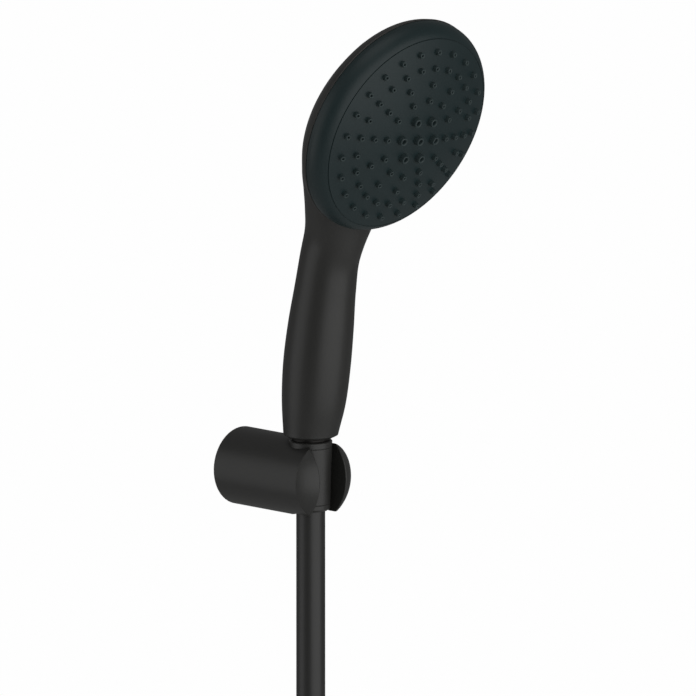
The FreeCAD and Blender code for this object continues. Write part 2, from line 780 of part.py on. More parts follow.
def engine_screws():
    """The screws that hold the distributor to the housing's bosses, as one group."""
    screws = []
    for place in screw_places():
        head = Part.makeCylinder(engine_screw_head_radius, engine_screw_head_height,
                                 place + UP * distributor_front)
        shank = Part.makeCylinder(engine_screw_radius, engine_screw_length,
                                  place + UP * (distributor_front - engine_screw_length))
        cross = Part.makeBox(engine_screw_head_radius * 1.4, 0.7, 1.2,
                             V(-engine_screw_head_radius * 0.7, -0.35,
                               distributor_front + engine_screw_head_height - 1.2))
        turned = cross.copy()
        turned.rotate(V(0, 0, 0), UP, 90)
        drive = cross.fuse(turned)
        drive.translate(place)
        screws.append(to_face(head.fuse(shank).cut(drive)))
    return Part.makeCompound(screws)


# ------------------------------------------------------------------ water way in the handle
def inlet_connector():
    """The brass stub that the nut screws to, with a shank that seals in the handle."""
    groove_low = inlet_o_ring_height - 1.3 * o_ring_section
    groove_high = inlet_o_ring_height + 1.3 * o_ring_section
    groove_radius = connector_shank_radius - 2 * o_ring_section
    limiter_room = limiter_radius + seat_gap
    tube_seat = connector_shank_top - tube_seat_depth
    collar_low = nut_top + loose_gap
    outline = [
        (limiter_room, washer_top),
        (thread_radius, washer_top),
        (thread_radius, collar_low),
        (connector_collar_radius, collar_low),
        (connector_collar_radius, handle_base),
        (connector_shank_radius, handle_base),
        (connector_shank_radius, groove_low),
        (groove_radius, groove_low),
        (groove_radius, groove_high),
        (connector_shank_radius, groove_high),
        (connector_shank_radius, connector_shank_top),
        (tube_radius + seat_gap, connector_shank_top),
        (tube_radius + seat_gap, tube_seat),
        (connector_bore_radius, tube_seat),
        (connector_bore_radius, washer_top + limiter_thickness),
        (limiter_room, washer_top + limiter_thickness),
    ]
    return on_seat_axis(revolved(outline))


def flow_limiter():
    """The disc with a ring of small holes that sets how much water passes."""
    disc = Part.makeCylinder(limiter_radius, limiter_thickness, V(0, 0, washer_top))
    for index in range(limiter_hole_count):
        angle = math.radians(360 / limiter_hole_count * index)
        place = V(limiter_hole_ring * math.cos(angle), limiter_hole_ring * math.sin(angle), washer_top)
        disc = disc.cut(Part.makeCylinder(limiter_hole_radius, limiter_thickness, place))
    return on_seat_axis(disc)


def inlet_o_ring():
    """The O-ring in the connector's groove."""
    middle = connector_shank_radius - o_ring_section
    return on_seat_axis(Part.makeTorus(middle, o_ring_section, V(0, 0, inlet_o_ring_height)))


def tube_o_ring():
    """The O-ring round the top end of the waterway tube."""
    ring_solid = Part.makeTorus(tube_radius + o_ring_section, o_ring_section)
    ring_solid.rotate(V(0, 0, 0), V(1, 0, 0), -90)
    ring_solid.translate(V(0, socket_mouth + tube_seat_depth / 2, -socket_depth_behind))
    return to_face(ring_solid)


def waterway_tube():
    """The bent tube that carries the water up the handle into the distributor's socket."""
    top = face_point(socket_mouth + tube_seat_depth, -socket_depth_behind)
    bend = face_point(socket_mouth + tube_seat_depth - tube_neck_run, -socket_depth_behind)
    points = [
        seat_axis + UP * (connector_shank_top - tube_seat_depth),
        seat_axis + UP * tube_lower_corner,
        bend,
        top,
    ]
    return swept(points, tube_radius)[0].cut(swept(points, tube_bore_radius)[0])


pieces = {
    "holder_body": holder_body,
    "wall_plate": wall_plate,
    "grub_screw": grub_screw,
    "cone_nut": cone_nut,
    "upper_insert": lambda: at_upper_end(hose_insert()),
    "upper_ferrule": lambda: at_upper_end(ferrule()),
    "filter_washer": lambda: at_upper_end(filter_washer()),
    "hose_run": hose_run,
    "hose_coil": hose_coil,
    "hose_tail": hose_tail,
    "coil_tie": coil_tie,
    "lower_insert": lambda: at_lower_end(hose_insert()),
    "lower_ferrule": lambda: at_lower_end(ferrule()),
    "lower_washer": lambda: at_lower_end(sealing_washer()),
    "lower_nut": lambda: at_lower_end(lower_nut()),
    "handset_housing": handset_housing,
    "inlet_connector": inlet_connector,
    "inlet_o_ring": inlet_o_ring,
    "flow_limiter": flow_limiter,
    "waterway_tube": waterway_tube,
    "tube_o_ring": tube_o_ring,
    "water_distributor": water_distributor,
    "engine_screws": engine_screws,
    "nozzle_mat": nozzle_mat,
    "rim_seal": rim_seal,
    "spray_faceplate": spray_faceplate,
}

os.makedirs("parts", exist_ok=True)
for name, make in pieces.items():
    shape = make()
    shape.exportStep("parts/" + name + ".step")
    box = shape.BoundBox
    print(name, "solids", len(shape.Solids), "valid", shape.isValid(), "cm3", round(shape.Volume / 1000, 2),
          "z", round(box.ZMin, 1), round(box.ZMax, 1))
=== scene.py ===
"""Handheld shower head in its wall holder: the finished look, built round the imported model.

Lengths in the classes are millimetres in the model's own frame: the origin is the centre of the
holder's wall face, +Z is up, the wall's outward normal is -Y and +X is to the right.
"""

import logging
import math
from dataclasses import dataclass, field
from enum import Enum
from typing import Any, Callable, Iterable, Optional, Sequence

import bmesh
import bpy
import numpy as np
from mathutils import Matrix, Vector


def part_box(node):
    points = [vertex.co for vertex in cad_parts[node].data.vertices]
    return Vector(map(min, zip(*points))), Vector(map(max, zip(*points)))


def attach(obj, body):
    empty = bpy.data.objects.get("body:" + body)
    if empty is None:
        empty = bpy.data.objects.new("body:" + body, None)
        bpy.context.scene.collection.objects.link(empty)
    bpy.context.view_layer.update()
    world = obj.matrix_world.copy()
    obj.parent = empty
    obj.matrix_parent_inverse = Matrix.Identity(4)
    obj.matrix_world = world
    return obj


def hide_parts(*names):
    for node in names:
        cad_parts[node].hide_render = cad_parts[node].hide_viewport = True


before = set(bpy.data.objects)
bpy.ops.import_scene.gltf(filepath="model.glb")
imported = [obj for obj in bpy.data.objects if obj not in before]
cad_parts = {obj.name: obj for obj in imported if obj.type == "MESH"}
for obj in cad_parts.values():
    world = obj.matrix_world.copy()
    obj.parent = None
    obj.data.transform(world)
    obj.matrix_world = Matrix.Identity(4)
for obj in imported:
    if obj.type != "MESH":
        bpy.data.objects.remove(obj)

MM = 0.001
Outline = Sequence[tuple[float, float]]
log = logging.getLogger("shower")


# ---------------------------------------------------------------- shared helpers
def linear(hex_colour: str) -> tuple[float, float, float, float]:
    """Turns an sRGB hex colour into linear values.

    Args:
        hex_colour: Six hex digits after a hash sign.

    Returns:
        Red, green, blue and an alpha of one.
    """
    parts = [int(hex_colour[i:i + 2], 16) / 255 for i in (1, 3, 5)]
    red, green, blue = (c / 12.92 if c <= 0.04045 else ((c + 0.055) / 1.055) ** 2.4 for c in parts)
    return red, green, blue, 1.0


def add_node(tree: bpy.types.NodeTree, kind: str, settings: Optional[dict[str, Any]] = None,
             inputs: Optional[dict[str, Any]] = None) -> bpy.types.Node:
    """Adds a shader node with its settings and links.

    Args:
        tree: The node tree that gets the node.
        kind: The node's type name.
        settings: Properties of the node itself.
        inputs: Values or output sockets for the node's inputs, by name.

    Returns:
        The new node.
    """
    node = tree.nodes.new(kind)
    for name, value in (settings or {}).items():
        setattr(node, name, value)
    for name, value in (inputs or {}).items():
        socket = node.inputs[name]
        if isinstance(value, bpy.types.NodeSocket):
            tree.links.new(value, socket)
        else:
            socket.default_value = value
    return node


def new_piece(name: str, mesh: bpy.types.Mesh, crease_deg: float = 35.0) -> bpy.types.Object:
    """Puts a mesh in the scene, smooth apart from its creases.

    Args:
        name: Name of the piece.
        mesh: Its mesh, in metres.
        crease_deg: Edges sharper than this stay crisp.

    Returns:
        The new object.
    """
    mesh.name = name
    mesh.polygons.foreach_set("use_smooth", [True] * len(mesh.polygons))
    mesh.set_sharp_from_angle(angle=math.radians(crease_deg))
    piece = bpy.data.objects.new(name, mesh)
    bpy.context.scene.collection.objects.link(piece)
    return piece


def mesh_of(build: bmesh.types.BMesh) -> bpy.types.Mesh:
    """Ends a mesh under construction.

    Args:
        build: The mesh under construction, in millimetres.

    Returns:
        The finished mesh, in metres.
    """
    bmesh.ops.recalc_face_normals(build, faces=build.faces[:])
    mesh = bpy.data.meshes.new("mesh")
    build.to_mesh(mesh)
    build.free()
    mesh.transform(Matrix.Scale(MM, 4))
    return mesh


def lathe(build: bmesh.types.BMesh, outline: Outline, place: Matrix, sides: int) -> None:
    """Turns an outline about an axis and adds the skin to a mesh.

    Args:
        build: The mesh that the skin is added to.
        outline: Points of (radius, height); a radius of zero is a pole.
        place: Where the axis stands, with the axis as its Z.
        sides: Steps round the axis.
    """
    rings = []
    for radius, height in outline:
        if radius <= 0:
            rings.append([build.verts.new(place @ Vector((0, 0, height)))])
            continue
        turns = (math.tau * step / sides for step in range(sides))
        rings.append([build.verts.new(place @ Vector((radius * math.cos(a), radius * math.sin(a),
                                                      height))) for a in turns])
    for low, high in zip(rings, rings[1:]):
        if len(low) == len(high) == 1:
            continue
        for step in range(sides):
            after = (step + 1) % sides
            corners = [low[step % len(low)], low[after % len(low)],
                       high[after % len(high)], high[step % len(high)]]
            build.faces.new(list(dict.fromkeys(corners)))


# ---------------------------------------------------------------- finishes
class Finish:
    """A surface that can be put on a piece."""

    name: str

    def shade(self, tree: bpy.types.NodeTree) -> dict[str, Any]:
        """Gives the shader's inputs for this surface.

        Args:
            tree: The material's node tree.

        Returns:
            The shader's inputs by name.
        """
        raise NotImplementedError

    def material(self) -> bpy.types.Material:
        """Makes the material once, and gives the same one after that.

        Returns:
            The material.
        """
        made = bpy.data.materials.get(self.name)
        if made is not None:
            return made
        made = bpy.data.materials.new(self.name)
        made.use_nodes = True
        tree = made.node_tree
        tree.nodes.clear()
        shader = add_node(tree, "ShaderNodeBsdfPrincipled", None, self.shade(tree))
        add_node(tree, "ShaderNodeOutputMaterial", None, {"Surface": shader.outputs["BSDF"]})
        return made

    def put_on(self, piece: bpy.types.Object) -> None:
        """Makes this the only material of a piece.

        Args:
            piece: The piece that is dressed.
        """
        piece.data.materials.clear()
        piece.data.materials.append(self.material())


def solid_place(tree: bpy.types.NodeTree) -> bpy.types.NodeSocket:
    """Gives the place on the piece itself, which moves with it."""
    return add_node(tree, "ShaderNodeTexCoord").outputs["Object"]


@dataclass(frozen=True)
class MouldedPlastic(Finish):
    """Injection-moulded plastic, whose grain is eroded into the mould.

    Attributes:
        name: The plastic's common name and its process.
        colour: Colour of the plastic.
        peak_sheen_and_tone: Paler colour, a painted highlight on the peaks of the grain, also
            reached in slow random patches of tone.
        roughness: Mean roughness of the surface.
        grain_mm: Size of one grain.
        grain_depth_mm: How deep the grain is.
        specular: Strength of the clear reflection.
    """

    name: str
    colour: str
    peak_sheen_and_tone: str
    roughness: float
    grain_mm: float = 0.7
    grain_depth_mm: float = 0.010
    specular: float = 0.5

    def shade(self, tree: bpy.types.NodeTree) -> dict[str, Any]:
        """Gives a fine grain, and slow changes of gloss from the flow of the melt.

        Args:
            tree: The material's node tree.

        Returns:
            The shader's inputs by name.
        """
        place = solid_place(tree)
        grain = add_node(tree, "ShaderNodeTexNoise", None, {
            "Vector": place, "Scale": 1 / (self.grain_mm * MM), "Detail": 3.0, "Roughness": 0.6})
        flow = add_node(tree, "ShaderNodeTexNoise", None, {
            "Vector": place, "Scale": 1 / (35 * MM), "Detail": 2.0})
        both = add_node(tree, "ShaderNodeMath", {"operation": "MULTIPLY_ADD"}, {
            0: flow.outputs["Fac"], 1: 0.35, 2: grain.outputs["Fac"]})
        # Painted highlight: the peaks of the grain are painted paler, as if light caught them; the
        # slow flow noise adds real random tone.
        colour = add_node(tree, "ShaderNodeMix", {"data_type": "RGBA"}, {
            "Factor": both.outputs[0], "A": linear(self.colour), "B": linear(self.peak_sheen_and_tone)})
        gloss = add_node(tree, "ShaderNodeMapRange", None, {
            "Value": both.outputs[0], "From Min": 0.3, "From Max": 1.1,
            "To Min": self.roughness - 0.05, "To Max": self.roughness + 0.05})
        bump = add_node(tree, "ShaderNodeBump", None, {
            "Height": grain.outputs["Fac"], "Strength": 0.35,
            "Distance": self.grain_depth_mm * MM})
        return {"Base Color": colour.outputs["Result"], "Roughness": gloss.outputs["Result"],
                "Normal": bump.outputs["Normal"], "IOR": 1.5,
                "Specular IOR Level": self.specular}


@dataclass(frozen=True)
class MouldedRubber(Finish):
    """Moulded rubber or silicone: dull, with a soft bloom.

    Attributes:
        name: The rubber's common name and its process.
        colour: Colour of the rubber.
        roughness: Mean roughness.
    """

    name: str
    colour: str
    roughness: float

    def shade(self, tree: bpy.types.NodeTree) -> dict[str, Any]:
        """Gives an even skin with a cloudy bloom, about 2 mm across.

        Args:
            tree: The material's node tree.

        Returns:
            The shader's inputs by name.
        """
        cloud = add_node(tree, "ShaderNodeTexNoise", None, {
            "Vector": solid_place(tree), "Scale": 1 / (2 * MM), "Detail": 4.0})
        gloss = add_node(tree, "ShaderNodeMapRange", None, {
            "Value": cloud.outputs["Fac"], "From Min": 0.3, "From Max": 0.7,
            "To Min": self.roughness - 0.06, "To Max": self.roughness + 0.06})
        bump = add_node(tree, "ShaderNodeBump", None, {
            "Height": cloud.outputs["Fac"], "Strength": 0.2, "Distance": 0.02 * MM})
        return {"Base Color": linear(self.colour), "Roughness": gloss.outputs["Result"],
                "Normal": bump.outputs["Normal"], "IOR": 1.43}


@dataclass(frozen=True)
class MachinedMetal(Finish):
    """Turned or rolled metal, with the fine lines of the tool.

    Attributes:
        name: The metal's common name and its process.
        colour: Colour of the bare metal.
        roughness: Mean roughness.
        line_mm: Distance between tool lines, drawn coarse enough to show.
    """

    name: str
    colour: str
    roughness: float
    line_mm: float = 0.4

    def shade(self, tree: bpy.types.NodeTree) -> dict[str, Any]:
        """Gives rings across the turning axis and a slight unevenness of gloss.

        Args:
            tree: The material's node tree.

        Returns:
            The shader's inputs by name.
        """
        place = solid_place(tree)
        lines = add_node(tree, "ShaderNodeTexWave", {
            "wave_type": "BANDS", "bands_direction": "Z"}, {
            "Vector": place, "Scale": 0.31 / (self.line_mm * MM), "Distortion": 0.6})
        stain = add_node(tree, "ShaderNodeTexNoise", None, {
            "Vector": place, "Scale": 1 / (6 * MM), "Detail": 3.0})
        gloss = add_node(tree, "ShaderNodeMapRange", None, {
            "Value": stain.outputs["Fac"], "From Min": 0.3, "From Max": 0.7,
            "To Min": self.roughness - 0.06, "To Max": self.roughness + 0.08})
        bump = add_node(tree, "ShaderNodeBump", None, {
            "Height": lines.outputs["Fac"], "Strength": 0.25, "Distance": 0.01 * MM})
        return {"Base Color": linear(self.colour), "Metallic": 1.0,
                "Roughness": gloss.outputs["Result"], "Normal": bump.outputs["Normal"]}


@dataclass(frozen=True)
class WovenStrap(Finish):
    """Woven nylon with a napped face, as on a hook-and-loop strap.

    Attributes:
        name: The cloth's common name and its process.
        colour: Colour of the yarn.
        pale: Colour of the nap where it catches light.
        yarn_mm: Distance between yarns.
    """

    name: str
    colour: str
    pale: str
    yarn_mm: float = 0.9

    def shade(self, tree: bpy.types.NodeTree) -> dict[str, Any]:
        """Gives ribs along the weave under a fuzzy nap.

        Args:
            tree: The material's node tree.

        Returns:
            The shader's inputs by name.
        """
        place = solid_place(tree)
        ribs = add_node(tree, "ShaderNodeTexWave", {
            "wave_type": "BANDS", "bands_direction": "Z"}, {
            "Vector": place, "Scale": 0.31 / (self.yarn_mm * MM), "Distortion": 1.5,
            "Detail": 2.0})
        nap = add_node(tree, "ShaderNodeTexNoise", None, {
            "Vector": place, "Scale": 1 / (0.5 * MM), "Detail": 5.0, "Roughness": 0.7})
        both = add_node(tree, "ShaderNodeMath", {"operation": "MULTIPLY"}, {
            0: ribs.outputs["Fac"], 1: nap.outputs["Fac"]})
        colour = add_node(tree, "ShaderNodeMix", {"data_type": "RGBA"}, {
            "Factor": both.outputs[0], "A": linear(self.colour), "B": linear(self.pale)})
        bump = add_node(tree, "ShaderNodeBump", None, {
            "Height": both.outputs[0], "Strength": 0.8, "Distance": 0.3 * MM})
        return {"Base Color": colour.outputs["Result"], "Roughness": 0.9,
                "Normal": bump.outputs["Normal"], "Sheen Weight": 0.25, "Sheen Roughness": 0.5}


class Finishes(Enum):
    """Every surface on the shower set."""

    # ABS out of a spark-eroded mould: a satin charcoal skin that spreads a softbox into a
    # soft-edged band.
    SATIN_BLACK = MouldedPlastic("abs_black_satin_moulded", "#242423", "#2c2c2a", 0.42)
    # The spray plate is a slightly bluer charcoal, with a finer and duller grain.
    FACE_GREY = MouldedPlastic("abs_slate_satin_moulded", "#132325", "#182a2c", 0.46, 0.5,
                               specular=0.4)
    # Unfilled acetal, as inner water parts are: milky, with a waxy gloss.
    NATURAL_ACETAL = MouldedPlastic("acetal_natural_moulded", "#c9c8c2", "#d6d5cf", 0.38, 0.9)
    # Extruded PVC sleeve over the hose, smoother than the mouldings.
    HOSE_SLEEVE = MouldedPlastic("pvc_black_extruded", "#232322", "#2a2a29", 0.40, 0.5, 0.006)
    # Liquid silicone, paler than the plate round it, so that each tip reads as a small ring.
    NOZZLE_SILICONE = MouldedRubber("silicone_slate_moulded", "#303d3e", 0.46)
    # Black nitrile for seals and washers: dull and even.
    SEAL_RUBBER = MouldedRubber("nitrile_black_moulded", "#191918", 0.62)
    # Free-cutting brass, turned on a lathe: warm, with fine rings.
    BRASS = MachinedMetal("brass_turned", "#d9b36a", 0.24)
    # Brass with a black nickel plating: a dark metal with a soft shine.
    DARK_PLATED = MachinedMetal("black_nickel_plated", "#2d2c2b", 0.42, 0.6)
    # Stainless steel, drawn and crimped: neutral and bright.
    STEEL = MachinedMetal("stainless_steel_drawn", "#b9babb", 0.26, 0.6)
    # Nylon hook-and-loop strap with a napped face.
    STRAP = WovenStrap("nylon_black_woven", "#111111", "#333231")


# ---------------------------------------------------------------- camera, light and floor
@dataclass
class Studio:
    """Camera, floor and soft lights.

    Attributes:
        target: Point that the camera looks at.
        azimuth_deg: Camera's turn round the object, zero looking along +Y.
        elevation_deg: Camera's height above the horizon.
        distance: From the target to the camera.
        view_width: Width of what the camera sees at the target.
        floor_height: Height of the floor, well below the hose.
        ground_colour: Colour of the floor and the sky as they are seen.
    """

    target: tuple[float, float, float] = (0.0, -86.2, 78.7)
    azimuth_deg: float = -45.0
    elevation_deg: float = 10.5
    distance: float = 16000.0
    view_width: float = 393.6
    floor_height: float = -1300.0
    ground_colour: str = "#fefefe"

    def backward(self, azimuth_deg: float, elevation_deg: float) -> Vector:
        """Works out where an azimuth and elevation point.

        Args:
            azimuth_deg: Turn round the object, where 0 looks along +Y.
            elevation_deg: Height above the horizon.

        Returns:
            The unit direction away from the target.
        """
        turn, rise = math.radians(azimuth_deg), math.radians(elevation_deg)
        return Vector((math.sin(turn) * math.cos(rise), -math.cos(turn) * math.cos(rise),
                       math.sin(rise)))

    def add_camera(self) -> None:
        """Stands a long lens at the viewing angle."""
        data = bpy.data.cameras.new("camera")
        data.sensor_width = 36.0
        data.lens = data.sensor_width * self.distance / self.view_width
        data.clip_end = 100.0
        camera = bpy.data.objects.new("camera", data)
        back = self.backward(self.azimuth_deg, self.elevation_deg)
        camera.location = (Vector(self.target) + back * self.distance) * MM
        camera.rotation_mode = "QUATERNION"
        camera.rotation_quaternion = (-back).to_track_quat("-Z", "Y")
        bpy.context.scene.collection.objects.link(camera)
        bpy.context.scene.camera = camera

    def add_softbox(self, name: str, azimuth_deg: float, elevation_deg: float, away: float,
                    size: tuple[float, float], power: float) -> None:
        """Hangs a rectangular light that faces the object.

        Args:
            name: Name of the light.
            azimuth_deg: Its turn round the object, as for the camera.
            elevation_deg: Its height above the horizon.
            away: Distance from the target.
            size: Its width and height.
            power: Its power in watts.
        """
        data = bpy.data.lights.new(name, "AREA")
        data.shape = "RECTANGLE"
        data.size, data.size_y = size[0] * MM, size[1] * MM
        data.energy = power
        lamp = bpy.data.objects.new(name, data)
        back = self.backward(azimuth_deg, elevation_deg)
        lamp.location = (Vector(self.target) + back * away) * MM
        lamp.rotation_mode = "QUATERNION"
        lamp.rotation_quaternion = (-back).to_track_quat("-Z", "Y")
        lamp.visible_camera = False
        bpy.context.scene.collection.objects.link(lamp)

    def add_floor(self) -> None:
        """Lays a wide pale floor."""
        build = bmesh.new()
        bmesh.ops.create_grid(build, x_segments=1, y_segments=1, size=30000.0)
        floor = new_piece("floor", mesh_of(build))
        floor.location.z = self.floor_height * MM
        paint = bpy.data.materials.new("floor_paper_matt")
        paint.use_nodes = True
        tree = paint.node_tree
        tree.nodes.clear()
        self.add_seen_and_lit(tree, add_node(tree, "ShaderNodeBsdfDiffuse", None, {
            "Color": linear("#e4e4e4")}).outputs[0], "ShaderNodeOutputMaterial")
        floor.data.materials.append(paint)

    def add_seen_and_lit(self, tree: bpy.types.NodeTree, lit: bpy.types.NodeSocket,
                         output: str) -> None:
        """Shows an even pale ground behind the object, whatever lights it.

        Args:
            tree: The node tree of the floor or the sky.
            lit: What the object's own surfaces see.
            output: The kind of output node.
        """
        kind = "ShaderNodeEmission" if "Material" in output else "ShaderNodeBackground"
        seen = add_node(tree, kind, None, {"Color": linear(self.ground_colour)})
        path = add_node(tree, "ShaderNodeLightPath")
        both = add_node(tree, "ShaderNodeMixShader", None, {0: path.outputs["Is Camera Ray"]})
        tree.links.new(lit, both.inputs[1])
        tree.links.new(seen.outputs[0], both.inputs[2])
        add_node(tree, output, None, {"Surface": both.outputs[0]})

    def add_sky(self, strength: float) -> None:
        """Gives an even pale surround.

        Args:
            strength: How brightly it lights the object.
        """
        world = bpy.data.worlds.new("studio")
        world.use_nodes = True
        tree = world.node_tree
        tree.nodes.clear()
        sky = add_node(tree, "ShaderNodeBackground", None, {
            "Color": (1, 1, 1, 1), "Strength": strength})
        self.add_seen_and_lit(tree, sky.outputs[0], "ShaderNodeOutputWorld")
        bpy.context.scene.world = world

    def build(self) -> None:
        """Sets up the whole studio."""
        bpy.context.scene.view_settings.view_transform = "Standard"
        self.add_camera()
        self.add_floor()
        self.add_sky(0.17)
        self.add_softbox("softbox_left", -122.0, 0.0, 1800.0, (1500.0, 2200.0), 7.2)
        self.add_softbox("softbox_right", 0.0, 0.0, 1800.0, (3100.0, 2200.0), 24.0)
        self.add_softbox("softbox_top", -45.0, 75.0, 1800.0, (1400.0, 1400.0), 5.0)


# ---------------------------------------------------------------- hose
@dataclass
class Hose:
    """The smooth hose, its put-away turns, the strap round them and its end fittings.

    Attributes:
        radius: Half the hose's thickness.
        real_length: Its length from insert to insert; not used.
        route: Points from inside the cone nut down to the coil.
        coil_radius: From the coil's axis to the middle of the hose.
        coil_height: Height of the coil's axis.
        coil_pitch: From one turn to the next.
        coil_turns: Turns put away.
        points_a_turn: Points of the route on each turn.
        tail: How far the free end hangs below the coil's axis.
        strap_thickness: Thickness of the strap round the turns.
        strap_lap: How far its end stands out where it lies over itself.
        strap_steps: Steps round each end of the strap.
    """

    radius: float = 8.25
    real_length: float = 1500.0
    route: list[tuple[float, float, float]] = field(default_factory=lambda: [
        (0.0, -56.3, 7.9),
        (0.0, -56.3, -106.0),
        (0.0, -56.3, -156.0),
        (21.8, -56.3, -201.0),
        (61.2, -56.3, -232.5),
        (83.0, -56.3, -278.0),
    ])
    coil_radius: float = 83.0
    coil_height: float = -323.0
    coil_pitch: float = 18.0
    coil_turns: int = 2
    points_a_turn: int = 16
    tail: float = 104.0
    strap_thickness: float = 1.3
    strap_lap: float = 1.0
    strap_steps: int = 14

    def coil_points(self) -> list[tuple[float, float, float]]:
        """Points of the turns, set a little wide because the curve runs inside them.

        Returns:
            The points in order, from the end of the route.
        """
        wide = self.coil_radius / (0.5 + 0.5 * math.cos(math.pi / self.points_a_turn))
        first = self.route[0][1]
        points = []
        for step in range(self.coil_turns * self.points_a_turn + 1):
            share = step / self.points_a_turn
            turn = -math.tau * share
            points.append((wide * math.cos(turn), first - self.coil_pitch * share,
                           self.coil_height + wide * math.sin(turn)))
        return points

    def tail_points(self) -> list[tuple[float, float, float]]:
        """Points of the free end: one near the coil, one at its lower end.

        Returns:
            The two points.
        """
        distance = self.route[0][1] - self.coil_pitch * self.coil_turns
        near = self.coil_height - math.tau * self.coil_radius / self.points_a_turn
        return [(self.coil_radius, distance, near),
                (self.coil_radius, distance, self.coil_height - self.tail)]

    def add_tube(self) -> bpy.types.Object:
        """Draws the hose as one smooth curve with thickness.

        Returns:
            The hose.
        """
        curve = bpy.data.curves.new("hose_tube", "CURVE")
        curve.dimensions = "3D"
        curve.resolution_u = 12
        curve.bevel_depth = self.radius * MM
        curve.bevel_resolution = 9
        curve.use_fill_caps = True
        spline = curve.splines.new("NURBS")
        points = self.route + self.coil_points() + self.tail_points()
        spline.points.add(len(points) - 1)
        for point, place in zip(spline.points, points):
            point.co = (*(v * MM for v in place), 1.0)
        spline.order_u = 3
        spline.use_endpoint_u = True
        tube = bpy.data.objects.new("hose_tube", curve)
        bpy.context.scene.collection.objects.link(tube)
        Finishes.HOSE_SLEEVE.value.put_on(tube)
        return tube

    def strap_path(self, straight: float) -> list[tuple[float, float, float]]:
        """Goes once round the turns and on over the strap's own start.

        Args:
            straight: Half the length of the strap's flat sides.

        Returns:
            Direction across and along the flat sides, and the shift along them, at each step.
        """
        path = []
        for start, end_sign in ((0.0, 1.0), (math.pi, -1.0)):
            for step in range(self.strap_steps + 1):
                turn = start + math.pi * step / self.strap_steps
                path.append((math.cos(turn), math.sin(turn), end_sign * straight))
        return path + path[:9]

    def add_strap(self) -> bpy.types.Object:
        """Wraps a strap round the turns, with its end lying over itself.

        Returns:
            The strap.
        """
        low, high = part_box("coil_tie")
        middle = (low + high) / 2 / MM
        half = (high - low) / 2 / MM
        thick = self.strap_thickness
        inner = half.x - thick - 0.1
        half_width = half.z - 0.4
        section = ((0.0, -1.0), (0.0, 1.0), (thick * 0.5, 1.04), (thick, 1.0), (thick, -1.0),
                   (thick * 0.5, -1.04))
        path = self.strap_path(half.y - half.x)
        build = bmesh.new()
        rings = []
        for index, (across, along, shift) in enumerate(path):
            rise = max(0.0, index - (len(path) - 10)) / 3
            out = inner + self.strap_lap * min(1.0, rise)
            ring = []
            for side, up in section:
                reach = out + side * 0.72
                ring.append(build.verts.new(middle + Vector((
                    across * reach, along * reach + shift, up * half_width))))
            rings.append(ring)
        for near, far in zip(rings, rings[1:]):
            for step in range(len(section)):
                after = (step + 1) % len(section)
                build.faces.new([near[step], near[after], far[after], far[step]])
        build.faces.new(rings[0])
        build.faces.new(rings[-1][::-1])
        strap = new_piece("coil_strap", mesh_of(build), 50.0)
        Finishes.STRAP.value.put_on(strap)
        return strap

    def build(self) -> None:
        tube = self.add_tube()
        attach(tube, "hose")
        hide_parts("hose_run", "hose_coil", "hose_tail")
        strap = self.add_strap()
        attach(strap, "hose")
        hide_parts("coil_tie")
        dress_nodes({
            "upper_insert": Finishes.BRASS, "lower_insert": Finishes.BRASS,
            "upper_ferrule": Finishes.STEEL, "lower_ferrule": Finishes.STEEL,
            "filter_washer": Finishes.SEAL_RUBBER, "lower_washer": Finishes.SEAL_RUBBER,
            "cone_nut": Finishes.SATIN_BLACK, "lower_nut": Finishes.SATIN_BLACK,
        })
        log.info("hose: tube, strap and end fittings")


def dress_nodes(finishes: dict[str, Finishes]) -> None:
    """Puts a finish on carried-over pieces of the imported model.

    Args:
        finishes: The finish for each node, by the node's name.
    """
    for node, finish in finishes.items():
        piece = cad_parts[node]
        finish.value.put_on(piece)
        log.info("%s: %s", node, finish.value.name)


# ---------------------------------------------------------------- wall holder
@dataclass
class WallHolder:
    """The forked post, the plate behind it and the screw that locks it."""

    def build(self) -> None:
        """Dresses the holder's pieces."""
        dress_nodes({
            "holder_body": Finishes.SATIN_BLACK,
            "wall_plate": Finishes.NATURAL_ACETAL,
            "grub_screw": Finishes.STEEL,
        })


# ---------------------------------------------------------------- handset
@dataclass
class FacePlace:
    """Where the spray face stands: its own X is to the right, Y up the face and Z outward.

    Attributes:
        distance: From the wall to the centre of the front rim.
        height: Height of that centre.
        tilt_deg: How far the face looks below the horizontal.
    """

    distance: float = 128.3
    height: float = 209.7
    tilt_deg: float = 19.2

    def matrix(self) -> Matrix:
        """From the face's frame to the model's."""
        turn = Matrix.Rotation(math.radians(90 + self.tilt_deg), 4, "X")
        return Matrix.Translation((0, -self.distance, self.height)) @ turn


